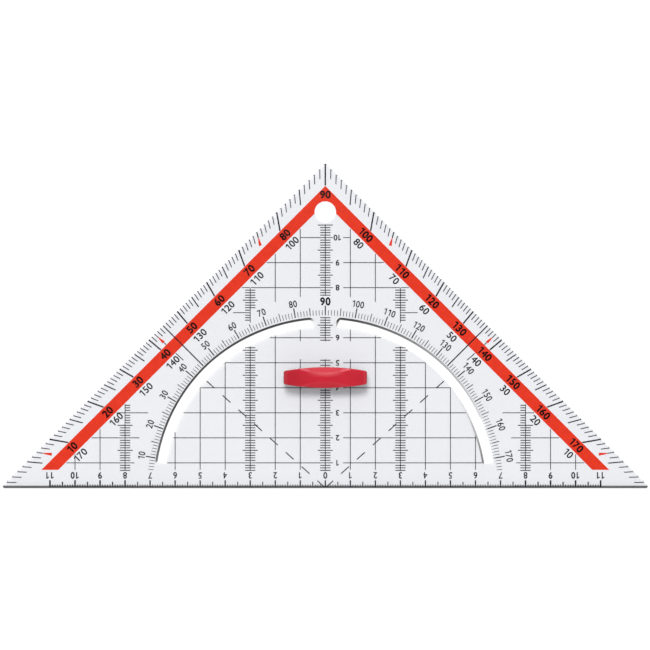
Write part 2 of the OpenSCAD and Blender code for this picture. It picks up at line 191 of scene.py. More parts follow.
class SheetSettings(bpy.types.PropertyGroup):
    """Sizes and tint of the clear sheet."""

    ruling_length: length("Ruling edge", "Length of the ruling edge to its sharp corners",
                          2 * (SHEET_HIGH.y + CORNER * (ROOT_TWO - 1)))
    corner_radius: length("Corner radius", "Radius of the three corners", CORNER)
    leg_chamfer: length("Leg chamfer", "Chamfer on the upper edges of the legs", 0.15 * MM)
    ruling_bevel: length("Ruling bevel", "Bevel on the upper side of the ruling edge", 0.95 * MM)
    underside: length("Underside", "Height of the sheet's underside, just above the print", 0.02 * MM)
    slot_inner: length("Slot inner radius", "Inner radius of the arc slots", ARC_OUTER - 8.6 * MM)
    slot_outer: length("Slot outer radius", "Outer radius of the arc slots", ARC_OUTER - 4.5 * MM)
    slot_start: angle("Slot start", "Angle above the ruling edge where a slot starts", 8.3)
    slot_end: angle("Slot end", "Angle above the ruling edge where a slot ends", 86.2)
    slot_corner: length("Slot corner", "Radius of the outer corner at a slot's upper end", 1.9 * MM)
    # The drafts and flares lean the slot walls so that their painted shade shows from above as dark lines;
    # the inner flare grows with that shade.
    low_draft: length("Low draft", "How far a slot's outer wall leans in at its foot, low down", 0.46 * MM)
    top_draft: length("Top draft", "How far a slot's outer wall leans in at its foot, at the top", 0.95 * MM)
    outer_flare: length("Outer flare", "How far a slot's outer wall flares at its rim, low down", 0.28 * MM)
    top_flare: length("Top flare", "How far a slot's outer wall flares at its rim, at the top", -0.1 * MM)
    inner_flare: length("Inner flare", "How far a slot's inner wall flares at its worn rim", 0.7 * MM)
    rim: length("Rim", "Rounding of the upper rims of slots and hole", 0.1 * MM)
    # Direction of the light: slot walls that face away from it get painted shade.
    worn_side: angle("Worn side", "Direction that the worn slot walls face away from", 120.0)
    bore_radius: length("Bore radius", "Radius of the two bores for the grip's pegs", 2.05 * MM)
    tint: tone("Tint", "Colour that one face of the sheet lets through", (0.944, 0.947, 0.960))
    edge_tint: tone("Edge tint", "Colour that a cut edge lets through", (0.94, 0.95, 0.965))
    # Painted shade along the ruling edge: a near-black film on its bevel, densest at the foot and thinner at
    # the top.
    ruling_cover: factor("Ruling cover", "Share of the ruling bevel's foot under graphite", 0.96)
    ruling_thin: factor("Ruling thin", "Share of the ruling bevel's top under graphite", 0.78)
    ruling_shade: factor("Ruling shade", "Share of the light that passes the ruling bevel", 0.5)
    # Painted light: the sheet's tint is painted brighter, towards white, on rims that face this way, over
    # this width.
    lit_side: angle("Lit side", "Direction that the clearer rims face", 120.0)
    lit_depth: length("Lit depth", "Width of the clearer rims", 1.35 * MM)
    # Painted shade on slot walls that face away from the light, fading to the pale edge colour below where
    # they face it.
    graphite: tone("Graphite", "Colour of slot walls that pencils ran along", (0.022, 0.022, 0.024))
    # Colour of the painted shade on the ruling bevel.
    ruling_graphite: tone("Ruling graphite", "Colour of graphite on the ruling bevel", (0.012, 0.012, 0.013))
    pale_edge: tone("Pale edge", "Colour of ground edges without graphite", (0.80, 0.81, 0.83))


class PrintSettings(bpy.types.PropertyGroup):
    """Sizes and inks of the print."""

    band_figure: length("Band figures", "Height of the figures on the red band", 2.85 * MM)
    row_figure: length("Row figures", "Height of the figures beside the red band", 2.75 * MM)
    arc_figure: length("Arc figures", "Height of the figures round the arc", 2.6 * MM)
    right_angle_figure: length("Right angle figure", "Height of the bold figure on the arc", 3 * MM)
    base_figure: length("Base figures", "Height of the figures along the ruling edge", 2.5 * MM)
    centre_figure: length("Centre figures", "Height of the figures up the middle", 2.2 * MM)
    band_middle: length("Band middle", "Distance of the band's middle line from the zero point",
                        BAND_OUTER - 2.4 * MM)
    row_middle: length("Row middle", "Distance of the figures beside the band", BAND_OUTER - 6.9 * MM)
    arc_middle: length("Arc middle", "Radius of the figures round the arc", ARC_OUTER + 1.7 * MM)
    base_middle: length("Base middle", "Distance of those figures from the ruling edge", 5 * MM)
    centre_offset: length("Centre offset", "Distance of the middle figures from the middle line", 4.9 * MM)
    row_lead: length("Row lead", "How far the figures beside the band run ahead of their rays", 0.55 * MM)
    arc_lead: length("Arc lead", "How far three-figure numbers on the arc run ahead", 0.1 * MM)
    band_top: length("Band top", "Distance of the figure at the right angle", 117.2 * MM)
    band_sink: length("Band sink", "How far the band's figures reach into the sheet", 0.012 * MM)
    bold_gain: length("Bold gain", "How far bold figures swell on each side", 0.165 * MM)
    half_gain: length("Half bold gain", "How far the outermost base figures swell on each side", 0.11 * MM)
    plain_gain: length("Plain gain", "How far plain figures swell on each side", 0.08 * MM)
    arc_gain: length("Arc gain", "How far the figures round the arc swell on each side", 0.065 * MM)
    band_step: factor("Band step", "Step between the band's digits by their height", 0.77)
    plain_step: factor("Plain step", "Step between plain digits by their height", 0.75)
    arc_step: factor("Arc step", "Step between digits on the arc by their height", 0.66)
    right_angle_step: factor("Right angle step", "Step in the bold figure on the arc", 0.73)
    base_width: factor("Base width", "Narrowing of the digits along the ruling edge", 0.9)
    arc_width: factor("Arc width", "Narrowing of the digits on the arc", 0.84)
    right_angle_width: factor("Right angle width", "Narrowing of the bold figure on the arc", 0.9)
    black: tone("Black", "Black ink", (0.012, 0.012, 0.014))
    band_black: tone("Band black", "Black ink on the red band", (0.002, 0.001, 0.001))
    red: tone("Red", "Red ink", (0.82, 0.042, 0.0162))


class GripSettings(bpy.types.PropertyGroup):
    """Sizes and colour of the grip."""

    middle_width: length("Middle width", "Width of the grip in the middle", 8.3 * MM)
    end_width: length("End width", "Width of the grip at its ends", 5.2 * MM)
    corner: length("Corner", "Rounding of the corners in plan", 1 * MM)
    brow: length("Brow", "Rounding of the upper ends", 1.6 * MM)
    top_round: length("Top rounding", "Rounding of the top edges over the scoops", 0.9 * MM)
    side_round: length("Side rounding", "Rounding of the top edges beside the scoops", 0.3 * MM)
    soft_reach: length("Soft reach", "Where the soft top edges begin to turn crisp", 4 * MM)
    crisp_reach: length("Crisp reach", "Where the top edges are crisp", 9.5 * MM)
    foot_round: length("Foot rounding", "Rounding along the foot", 0.2 * MM)
    crown: length("Crown", "How far the top falls off to its sides in the middle", 0.32 * MM)
    crown_reach: length("Crown reach", "How far the crowned top reaches from the middle", 9 * MM)
    scoop_depth: length("Scoop depth", "Depth of the finger scoops at the top", 1.4 * MM)
    scoop_radius: length("Scoop radius", "Radius of the finger scoops", 57 * MM)
    scoop_lift: length("Scoop lift", "Height of the scoop's ball above the top", 58 * MM)
    peg_radius: length("Peg radius", "Radius of the two pegs", 2 * MM)
    peg_spacing: length("Peg spacing", "Distance between the pegs", 25 * MM)
    slit: length("Slit", "Width of the slit in a peg", 0.6 * MM)
    plastic: tone("Plastic", "Colour of the moulded plastic", (0.490, 0.0155, 0.0295))
    # Painted highlight mixed with a light finger rub: the pale colour of glints on the far crests, and the
    # share of painted light in the far scoop.
    rubbed: tone("Rubbed plastic", "Colour of what fingers rubbed", (0.78, 0.17, 0.22))
    scoop_rub: factor("Scoop rub", "How much fingers rubbed the far scoop", 0.16)


class StageSettings(bpy.types.PropertyGroup):
    """Floor, lamps and camera."""

    floor: tone("Floor", "Colour of the floor", (0.90, 0.90, 0.90))
    camera_height: length("Camera height", "Height of the camera above the print", 1.5)
    frame_width: length("Frame width", "Width of the view at the print", 259.8 * MM)
    view_middle: length("View middle", "Distance of the view's middle from the zero point", 65.08 * MM)
    view_side: length("View side", "How far to the right of the zero point the view's middle is", -0.12 * MM)
    key_strength: strength("Key strength", "Strength of the key lamp", 1.91)
    key_turn: angle("Key turn", "Turn of the key lamp from straight behind, to the left", 9.0)
    key_height: angle("Key height", "Height of the key lamp above the floor", 71.0)
    key_spread: angle("Key spread", "Apparent size of the key lamp", 15.0)
    fill_strength: strength("Fill strength", "Strength of the soft fill", 0.645)
    zenith_share: factor("Zenith share", "Share of the fill mirrored from straight overhead", 0.08)
    mirror_lean: factor("Mirror lean", "How much more of the fill is mirrored from behind", 0.5)
    mirror_glow: strength("Mirror glow", "Strength of the key as it is mirrored", 3.0)


def settings(group):
    """A settings group of the scene."""
    return getattr(bpy.context.scene, group)


# Node trees

def add_node(tree, kind, inputs=None, **fields):
    """A new node with its fields set and its inputs linked to sockets or nodes, or filled."""
    node = tree.nodes.new(kind)
    for field, value in fields.items():
        setattr(node, field, value)
    for key, value in (inputs or {}).items():
        if isinstance(value, bpy.types.Node):
            value = value.outputs[0]
        if isinstance(value, bpy.types.NodeSocket):
            tree.links.new(value, node.inputs[key])
        else:
            node.inputs[key].default_value = value
    return node


def new_group(name, kind, inputs, outputs):
    """A node group with its sockets, and the nodes that stand for them."""
    tree = bpy.data.node_groups.new(name, kind)
    for socket, socket_type, default in inputs:
        made = tree.interface.new_socket(name=socket, in_out="INPUT", socket_type=socket_type)
        if default is not None:
            made.default_value = default
    for socket, socket_type in outputs:
        tree.interface.new_socket(name=socket, in_out="OUTPUT", socket_type=socket_type)
    return tree, tree.nodes.new("NodeGroupInput"), tree.nodes.new("NodeGroupOutput")


def math_node(tree, operation, first, second):
    """The result of a Math node."""
    return add_node(tree, "ShaderNodeMath", {0: first, 1: second}, operation=operation).outputs[0]


def vector_math(tree, operation, inputs):
    """A Vector Math node."""
    return add_node(tree, "ShaderNodeVectorMath", inputs, operation=operation)


def split(tree, value):
    """The X, Y and Z of a vector."""
    return add_node(tree, "ShaderNodeSeparateXYZ", {0: value}).outputs


def combine(tree, x, y, z):
    """A vector from its three parts."""
    return add_node(tree, "ShaderNodeCombineXYZ", {"X": x, "Y": y, "Z": z})


def carry(tree, value, to_low, to_high, low=0.0, high=1.0):
    """A value carried from one range to another and held there."""
    node = add_node(tree, "ShaderNodeMapRange", {"Value": value, "From Min": low, "From Max": high,
                                                 "To Min": to_low, "To Max": to_high})
    return node.outputs["Result"]


def soft_step(tree, value, low, high):
    """A smooth rise from 0 to 1 between two values."""
    step = carry(tree, value, 0.0, 1.0, low, high)
    step.node.interpolation_type = "SMOOTHSTEP"
    return step


def mix_colours(tree, amount, first, second):
    """A mix of two colours, each a socket or three numbers."""
    ends = [end if isinstance(end, bpy.types.NodeSocket) else (*end, 1.0) for end in (first, second)]
    mix = add_node(tree, "ShaderNodeMix", {0: amount, 6: ends[0], 7: ends[1]}, data_type="RGBA")
    return mix.outputs[2]


def shades(tree, amount, colour, low, high):
    """A colour that drifts between two brightnesses."""
    ends = [[min(1.0, part * gain) for part in colour] for gain in (low, high)]
    return mix_colours(tree, amount, *ends)


def scratch_group():
    """Hairline scratches in two directions."""
    name = "fine_scratches"
    if name in bpy.data.node_groups:
        return bpy.data.node_groups[name]
    tree, start, end = new_group(
        name, "ShaderNodeTree",
        (("Coordinates", "NodeSocketVector", None), ("Fineness", "NodeSocketFloat", 2600.0),
         ("Length", "NodeSocketFloat", 70.0), ("Amount", "NodeSocketFloat", 1.0)),
        (("Mask", "NodeSocketFloat"),))
    stretch = combine(tree, *(start.outputs[part] for part in ("Fineness", "Length", "Length")))
    layers = []
    for turn, shift in ((0.62, 0.0), (-0.95, 3.7)):
        turned = add_node(tree, "ShaderNodeVectorRotate",
                          {"Vector": start.outputs["Coordinates"], "Angle": turn}, rotation_type="Z_AXIS")
        spread = vector_math(tree, "MULTIPLY_ADD", {0: turned, 1: stretch, 2: (shift, shift, shift)})
        noise = add_node(tree, "ShaderNodeTexNoise",
                         {"Vector": spread, "Scale": 1.0, "Detail": 1.0, "Roughness": 0.4})
        layers.append(carry(tree, noise, 0.0, 1.0, 0.68, 0.78))
    both = math_node(tree, "MAXIMUM", layers[0], layers[1])
    tree.links.new(math_node(tree, "MULTIPLY", both, start.outputs["Amount"]), end.inputs["Mask"])
    return tree


def grain_group():
    """Fine grain and slow cloudiness."""
    name = "grain_and_cloud"
    if name in bpy.data.node_groups:
        return bpy.data.node_groups[name]
    tree, start, end = new_group(
        name, "ShaderNodeTree",
        (("Coordinates", "NodeSocketVector", None), ("Grain", "NodeSocketFloat", 4000.0),
         ("Cloud", "NodeSocketFloat", 150.0)),
        (("Grain", "NodeSocketFloat"), ("Cloud", "NodeSocketFloat")))
    for layer, detail in (("Grain", 2.0), ("Cloud", 3.0)):
        noise = add_node(tree, "ShaderNodeTexNoise", {
            "Vector": start.outputs["Coordinates"], "Scale": start.outputs[layer], "Detail": detail,
            "Roughness": 0.55})
        tree.links.new(carry(tree, noise, 0.0, 1.0, 0.3, 0.7), end.inputs[layer])
    return tree


# Materials

def new_material(name):
    """An empty node material, its tree and its Object coordinates."""
    material = bpy.data.materials.new(name)
    material.use_nodes = True
    tree = material.node_tree
    tree.nodes.clear()
    return material, tree, tree.nodes.new("ShaderNodeTexCoord").outputs["Object"]


def show(tree, shader):
    """Link a shader to the material's output."""
    add_node(tree, "ShaderNodeOutputMaterial", {0: shader})


def scratches(tree, inputs):
    """The mask of fine scratches."""
    return add_node(tree, "ShaderNodeGroup", inputs, node_tree=scratch_group()).outputs["Mask"]


def grain_and_cloud(tree, place, grain, cloud):
    """Fine grain and slow cloudiness, each at its own scale."""
    node = add_node(tree, "ShaderNodeGroup", {"Coordinates": place, "Grain": grain, "Cloud": cloud},
                    node_tree=grain_group())
    return node.outputs["Grain"], node.outputs["Cloud"]


def bumps(tree, height, amount, depth, **fields):
    """Fine bumps on a surface."""
    return add_node(tree, "ShaderNodeBump", {"Strength": amount, "Distance": depth, "Height": height},
                    **fields)


def principled(tree, inputs):
    """The main shader of a material."""
    return add_node(tree, "ShaderNodeBsdfPrincipled", inputs)


def ink_material(name, colour):
    """Satin screen print: a little cloudy in colour, finely grained in gloss."""
    material, tree, place = new_material(name)
    grain, cloud = grain_and_cloud(tree, place, 5200.0, 420.0)
    show(tree, principled(tree, {
        "Base Color": shades(tree, cloud, colour, 0.95, 1.05), "Roughness": carry(tree, grain, 0.42, 0.62),
        "Specular IOR Level": 0.05, "Normal": bumps(tree, grain, 0.25, 0.004 * MM)}))
    return material


def lit_rims(tree, place, s):
    """Mask of painted light on the rims that face the light: the left leg and the inner rims of the slots.
    """
    parts = split(tree, place)
    x = parts["X"]
    y = parts["Y"]
    half = s.lit_depth / 2
    leg_edge = s.ruling_length / 2
    leg = soft_step(tree, math_node(tree, "SUBTRACT", y, x), leg_edge - s.lit_depth * ROOT_TWO, leg_edge)
    radius = vector_math(tree, "LENGTH", {0: place}).outputs["Value"]
    rim = soft_step(tree, radius, s.slot_inner - s.lit_depth, s.slot_inner)
    towards = (math.cos(s.lit_side), math.sin(s.lit_side), 0.0)
    along = vector_math(tree, "DOT_PRODUCT", {0: place, 1: towards}).outputs["Value"]
    facing = soft_step(tree, math_node(tree, "DIVIDE", along, radius), 0.45, 0.75)
    inside = math_node(tree, "LESS_THAN", radius, (s.slot_inner + s.slot_outer) / 2)
    low_end = s.slot_inner * math.sin(s.slot_start)
    top_end = s.slot_inner * math.cos(s.slot_end)
    above = soft_step(tree, y, low_end - half, low_end + half)
    beside = soft_step(tree, math_node(tree, "ABSOLUTE", x, 0.0), top_end - half, top_end + half)
    for part in (facing, inside, above, beside):
        rim = math_node(tree, "MULTIPLY", rim, part)
    return math_node(tree, "MAXIMUM", leg, rim)


def lamp_way(tree, shader, clear):
    """A shader that lets lamps and soft light straight through in a colour."""
    path = tree.nodes.new("ShaderNodeLightPath")
    through = add_node(tree, "ShaderNodeBsdfTransparent", {"Color": clear})
    for ray in ("Is Diffuse Ray", "Is Shadow Ray"):
        shader = add_node(tree, "ShaderNodeMixShader", {0: path.outputs[ray], 1: shader, 2: through})
    return shader


def sheet_material(s):
    """Polished clear plastic with hairline scratches, its tint painted brighter at the rims that face the
    light.
    """
    material, tree, place = new_material("clear_plastic")
    scratch = scratches(tree, {"Coordinates": place, "Amount": 0.5})
    cloud = grain_and_cloud(tree, place, 900.0, 22.0)[1]
    # Painted light: the tint turns towards white on the rims that face the light, both as seen and as let
    # through to the floor.
    clear = mix_colours(tree, lit_rims(tree, place, s), shades(tree, cloud, s.tint, 0.996, 1.004), WHITE)
    shader = principled(tree, {
        "Base Color": clear, "Roughness": carry(tree, scratch, 0.02, 0.06), "IOR": 1.49,
        "Transmission Weight": 1.0, "Normal": bumps(tree, scratch, 0.03, 0.01 * MM, invert=True)})
    show(tree, lamp_way(tree, shader, clear))
    return material


def edge_material(tint):
    """Moulded edges of the clear sheet: a little duller than its faces."""
    material, tree, place = new_material("clear_plastic_edge")
    grain, cloud = grain_and_cloud(tree, place, 3000.0, 300.0)
    shader = principled(tree, {
        "Base Color": shades(tree, cloud, tint, 0.97, 1.03), "Roughness": carry(tree, grain, 0.08, 0.14),
        "IOR": 1.49, "Transmission Weight": 1.0})
    show(tree, lamp_way(tree, shader, (*tint, 1.0)))
    return material


def ruling_edge_material(s):
    """Painted shade on the ruling bevel: streaked near-black, thinner up it, where the ticks below still
    show through.
    """
    material, tree, place = new_material("painted_shade_ruling_edge")
    streak = add_node(tree, "ShaderNodeMapping", {"Vector": place, "Scale": (0.12, 1.0, 1.0)})
    grain, cloud = grain_and_cloud(tree, streak, 9000.0, 700.0)
    cover = carry(tree, split(tree, place)["Y"], s.ruling_cover, s.ruling_thin, 0.0, s.ruling_bevel)
    shader = principled(tree, {
        "Base Color": shades(tree, cloud, s.ruling_graphite, 0.8, 1.25),
        "Roughness": carry(tree, grain, 0.4, 0.6), "Specular IOR Level": 0.1,
        "Alpha": math_node(tree, "ADD", cover, carry(tree, cloud, -0.03, 0.03))})
    show(tree, lamp_way(tree, shader, (*[s.ruling_shade] * 3, 1.0)))
    return material


def worn_edge_material(graphite, pale):
    """Matt slot walls with painted shade, dark where the vertex attribute says so, on walls that face away
    from the light.
    """
    material, tree, place = new_material("painted_shade_edge_plastic")
    grain, cloud = grain_and_cloud(tree, place, 9000.0, 700.0)
    amount = add_node(tree, "ShaderNodeAttribute", attribute_name="graphite").outputs["Fac"]
    shader = principled(tree, {
        "Base Color": mix_colours(tree, amount, pale, shades(tree, cloud, graphite, 0.8, 1.25)),
        "Roughness": carry(tree, grain, 0.4, 0.6), "Specular IOR Level": 0.25,
        "Normal": bumps(tree, grain, 0.2, 0.01 * MM)})
    show(tree, lamp_way(tree, shader, (0.85, 0.85, 0.85, 1.0)))
    return material


def grip_material(colour, rubbed):
    """Moulded gloss plastic: slow colour drift with painted shade towards the ends and painted light on the
    far side, a fine skin, and edges polished by fingers with painted highlight on the far crests and in the
    far scoop.
    """
    material, tree, place = new_material("grip_red_plastic")
    scratch = scratches(tree, {"Coordinates": place, "Fineness": 5200.0, "Length": 260.0, "Amount": 0.6})
    grain, cloud = grain_and_cloud(tree, place, 7000.0, 240.0)
    # This attribute carries a light finger rub along the top edges, and painted highlight: glints on the far
    # crests and light in the far scoop.
    rub = add_node(tree, "ShaderNodeAttribute", attribute_name="rub").outputs["Fac"]
    parts = split(tree, place)
    drift_and_painted_light = carry(tree, cloud, 0.52, 0.74)
    # Painted shade darkens the ends, the left one more, and painted light brightens the far side.
    for way, start, end, gain in (("X", -3 * MM, -15 * MM, -0.55), ("X", 3 * MM, 15 * MM, -0.22),
                                  ("Y", GRIP_MIDDLE + 1.5 * MM, GRIP_MIDDLE + 3 * MM, 0.24)):
        step = soft_step(tree, parts[way], start, end)
        drift_and_painted_light = math_node(tree, "ADD", drift_and_painted_light, math_node(tree, "MULTIPLY", step, gain))
    drift_and_painted_light = shades(tree, drift_and_painted_light, colour, 0.80, 1.18)
    skin = carry(tree, grain, 0.15, 0.21)
    height = math_node(tree, "ADD", grain, math_node(tree, "MULTIPLY", scratch, -1.5))
    shader = principled(tree, {
        "Base Color": mix_colours(tree, math_node(tree, "MULTIPLY", rub, 0.6), drift_and_painted_light, rubbed),
        "Roughness": math_node(tree, "SUBTRACT", skin, math_node(tree, "MULTIPLY", rub, 0.03)),
        "Normal": bumps(tree, height, 0.12, 0.01 * MM), "IOR": 1.5, "Specular IOR Level": 0.4})
    calm = add_node(tree, "ShaderNodeBsdfDiffuse", {"Color": (0.48, 0.38, 0.40, 1.0)})
    bounce = tree.nodes.new("ShaderNodeLightPath").outputs["Is Diffuse Ray"]
    show(tree, add_node(tree, "ShaderNodeMixShader", {0: bounce, 1: shader, 2: calm}))
    return material


def floor_material(colour):
    """Plain pale studio floor."""
    material, tree, place = new_material("floor_paint")
    cloud = grain_and_cloud(tree, place, 300.0, 3.0)[1]
    show(tree, principled(tree, {"Base Color": shades(tree, cloud, colour, 0.995, 1.005), "Roughness": 0.9,
                                 "Specular IOR Level": 0.1}))
    return material


# Meshes

def new_object(name, data):
    """An object in the scene."""
    made = bpy.data.objects.new(name, data)
    bpy.context.scene.collection.objects.link(made)
    return made


def finish_mesh(bm, name):
    """A mesh with its faces turned outwards."""
    bmesh.ops.recalc_face_normals(bm, faces=bm.faces)
    mesh = bpy.data.meshes.new(name)
    bm.to_mesh(mesh)
    bm.free()
    return mesh


def finish_piece(name, mesh, body):
    """A finished mesh as a piece of a body, at the origin."""
    piece = new_object(name, mesh)
    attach(piece, body)
    return piece


def smooth_share(value, low, high):
    """A smooth rise from 0 to 1 between two values."""
    share = max(0.0, min(1.0, (value - low) / (high - low)))
    return share * share * (3 - 2 * share)


def arc(middle, radius, start, end, steps):
    """Points of an arc, both ends counted."""
    turns = [start + (end - start) * i / steps for i in range(steps + 1)]
    return [(middle[0] + radius * math.cos(t), middle[1] + radius * math.sin(t)) for t in turns]


def wall_faces(bm, rings):
    """Smooth quads between closed rings of vertices."""
    faces = []
    for low, high in zip(rings, rings[1:]):
        for i in range(len(low)):
            j = (i + 1) % len(low)
            face = bm.faces.new((low[i], low[j], high[j], high[i]))
            face.smooth = True
            faces.append(face)
    return faces


def ring_walls(bm, rings, slot):
    """Walls between closed rings of points, each ring as (height, points)."""
    made = [[bm.verts.new((x, y, z)) for x, y in points] for z, points in rings]
    faces = wall_faces(bm, made)
    for face in faces:
        face.material_index = slot
    return made, faces


def sharp_loop(bm, loop):
    """The edges of a closed loop of vertices, made sharp."""
    edges = [bm.edges.get((loop[i - 1], loop[i])) for i in range(len(loop))]
    for edge in edges:
        edge.smooth = False
    return edges


def fill_loops(bm, loops, normal):
    """A flat face with holes, between closed loops of vertices, with sharp borders."""
    edges = [edge for loop in loops for edge in sharp_loop(bm, loop)]
    made = bmesh.ops.triangle_fill(bm, use_beauty=True, edges=edges, normal=normal)
    faces = [item for item in made["geom"] if isinstance(item, bmesh.types.BMFace)]
    if not faces:
        raise RuntimeError("a flat face could not be filled")
    for face in faces:
        face.material_index = 0
        face.smooth = False


# Sheet

def sheet_outline(s, base_in, leg_in):
    """Outline of the sheet, moved in from the ruling edge and the legs."""
    quarter = math.pi / 4
    radius = s.corner_radius
    half = s.ruling_length / 2
    across = half - radius / math.tan(quarter / 2)
    inner = max(radius - leg_in, LEAST_CORNER)
    start = math.asin(max(-1.0, min((base_in - radius) / inner, math.sin(quarter) - LEAST_TURN)))
    right = arc((across, radius), inner, start, quarter, CORNER_STEPS)
    lift = max(0.0, base_in - right[0][1])
    right = [(x - lift, y + lift) for x, y in right]
    return (right + arc((0.0, half - ROOT_TWO * radius), inner, quarter, 3 * quarter, TIP_STEPS)
            + [(-x, y) for x, y in reversed(right)])


def slot_walls(s):
    """Walls of the right-hand slot as (x, y, way into the slot across, and up)."""
    start = s.slot_start
    end = s.slot_end
    seat = s.slot_outer - s.slot_corner
    turn = end - math.asin(s.slot_corner / seat)
    corner = (seat * math.cos(turn), seat * math.sin(turn))
    outer = [(x, y, -x, -y) for x, y in arc((0.0, 0.0), s.slot_outer, start, turn, SLOT_STEPS)]
    bend = [(x, y, corner[0] - x, corner[1] - y)
            for x, y in arc(corner, s.slot_corner, turn, end + math.pi / 2, BEND_STEPS)[1:]]
    inner = [(x, y, x, y) for x, y in arc((0.0, 0.0), s.slot_inner, end, start, SLOT_STEPS)]
    outer[0] = (*outer[0][:2], -math.cos(start) - math.sin(start), math.cos(start) - math.sin(start))
    inner[0] = (*inner[0][:2], math.cos(end) + math.sin(end), math.sin(end) - math.cos(end))
    inner[-1] = (*inner[-1][:2], math.cos(start) - math.sin(start), math.sin(start) + math.cos(start))
    return outer + bend + inner


def slot_outline(s, side):
    """Outline of a slot as (x, y, normal into the slot, painted shade, lean at the foot, flare at the rim).
    """
    away = Vector((math.cos(s.worn_side), math.sin(s.worn_side)))
    points = []
    for x, y, across, up in slot_walls(s):
        normal = Vector((side * across, up)).normalized()
        # Painted shade: the more a wall faces away from the light, the darker it is painted.
        edge_mark = max(0.0, min(1.0, (SHADE_START - normal.dot(away)) / SHADE_SPAN))
        top = smooth_share(math.degrees(math.asin(y / math.hypot(x, y))), *WALL_CHANGE)
        lean = s.low_draft + (s.top_draft - s.low_draft) * top
        flare = s.outer_flare + (s.top_flare - s.outer_flare) * top
        # Inner walls take their painted shade more steeply, and their rims flare with it.
        if math.hypot(x, y) < (s.slot_inner + s.slot_outer) / 2:
            edge_mark = min(1.0, INNER_SHADE * edge_mark)
            lean = INNER_LEAN
            flare = s.inner_flare * min(1.0, INNER_FLARE * edge_mark)
        points.append((side * x, y, normal, edge_mark, lean, flare))
    return points


def rim_rows(low, high, round_low, round_high):
    """Heights of a hole's wall with how much it opens there, for rounded rims."""
    rows = []
    for step in range(4):
        turn = math.pi / 2 * step / 3
        rows.append((low + round_low * (1 - math.cos(turn)), round_low * (1 - math.sin(turn))))
    for step in range(6):
        turn = math.pi / 2 * step / 5
        rows.append((high - round_high * (1 - math.sin(turn)), round_high * (1 - math.cos(turn))))
    return rows


def cut_slot(bm, s, side, rows, graphite):
    """Walls of an arc slot, which lean in at the foot and flare at the rim."""
    low = rows[0][0]
    high = rows[-1][0]
    outline = slot_outline(s, side)
    rings = []
    for height, grow in rows:
        depth = (high - height) / (high - low)
        ring = []
        for x, y, normal, edge_mark, lean, flare in outline:
            into = lean * depth - flare * (1 - depth) - grow
            ring.append((x + normal.x * into, y + normal.y * into))
        rings.append((height, ring))
    made, faces = ring_walls(bm, rings, 1)
    # Each wall vertex carries its painted shade; walls with any take the dark matt material.
    for ring in made:
        for vert, point in zip(ring, outline):
            vert[graphite] = point[3]
    for face in faces:
        if max(vert[graphite] for vert in face.verts) > UNSHADED_WALL:
            face.material_index = 2
    return made[0], made[-1]


def cut_hole(bm, middle, radius, rows, steps):
    """Wall of a round hole."""
    rings = [(height, arc(middle, radius + grow, 0.0, 2 * math.pi, steps)[:-1]) for height, grow in rows]
    made = ring_walls(bm, rings, 1)[0]
    return made[0], made[-1]


def build_sheet(s):
    """The clear sheet with softened edges, arc slots, hanging hole and bores."""
    low = s.underside
    high = SHEET_HIGH.z
    chamfer = s.leg_chamfer
    bevel = s.ruling_bevel
    soft = SOFT_EDGE
    # Rings of the outer edge: height, and how far the legs and the ruling edge are moved in
    profile = (
        (low, soft, soft),
        (low + 0.3 * soft, 0.3 * soft, 0.3 * soft),
        (low + soft, 0.0, 0.0),
        (high - bevel - soft, 0.0, 0.0),
        (high - bevel + 0.5 * soft, 0.0, 0.7 * soft),
        (high - chamfer - soft, 0.0, bevel - chamfer - soft),
        (high - chamfer + 0.5 * soft, 0.7 * soft, bevel - chamfer + 0.5 * soft),
        (high - 0.7 * soft, chamfer - 0.5 * soft, bevel - 0.5 * soft),
        (high, chamfer + 0.4 * soft, bevel + 0.4 * soft))
    bm = bmesh.new()
    # Painted shade of the slot walls, one value a vertex.
    graphite = bm.verts.layers.float.new("graphite")
    rings = [(height, sheet_outline(s, base_in, leg_in)) for height, leg_in, base_in in profile]
    made, faces = ring_walls(bm, rings, 1)
    for face in faces:
        face.normal_update()
        across, along, up = (abs(part) for part in face.normal)
        # Faces of the ruling bevel take the material with its painted shade.
        if across < BEVEL_TILT < min(along, up):
            face.material_index = 3
    loops = [(made[0], made[-1])]
    rows = rim_rows(low, high, soft, s.rim)
    for side in (-1, 1):
        loops.append(cut_slot(bm, s, side, rows, graphite))
    loops.append(cut_hole(bm, HOLE["pos_m"], HOLE["dims"]["r_mm"] * MM, rows, HOLE_STEPS))
    spacing = settings("triangle_grip").peg_spacing
    for side in (-1, 1):
        middle = (side * spacing / 2, GRIP_MIDDLE)
        loops.append(cut_hole(bm, middle, s.bore_radius, rows, BORE_STEPS))
    fill_loops(bm, [lower for lower, upper in loops], (0.0, 0.0, -1.0))
    fill_loops(bm, [upper for lower, upper in loops], (0.0, 0.0, 1.0))
    return finish_mesh(bm, "clear_sheet_body")


# Grip

def grip_side(s, across, height):
    """Half width of the grip where it lies across from its middle and up from its foot, and its hollow."""
    sag = (s.middle_width - s.end_width) / 2
    bow = (GRIP_HALF ** 2 + sag ** 2) / (2 * sag)
    side = math.sqrt(bow ** 2 - across ** 2) - bow + s.middle_width / 2
    ball = s.scoop_radius ** 2 + s.scoop_lift ** 2
    inside = ball - across ** 2 - (height - GRIP_TALL - s.scoop_lift) ** 2
    if inside <= 0:
        return side, 0.0
    scoop = s.middle_width / 2 - s.scoop_depth + s.scoop_radius - math.sqrt(inside)
    near = max(RIDGE_SOFT - abs(side - scoop), 0.0) / RIDGE_SOFT
    hollow = smooth_share(side - scoop, 0.0, RIDGE_SOFT / 2)
    return min(side, scoop) - near * near * RIDGE_SOFT / 4, hollow


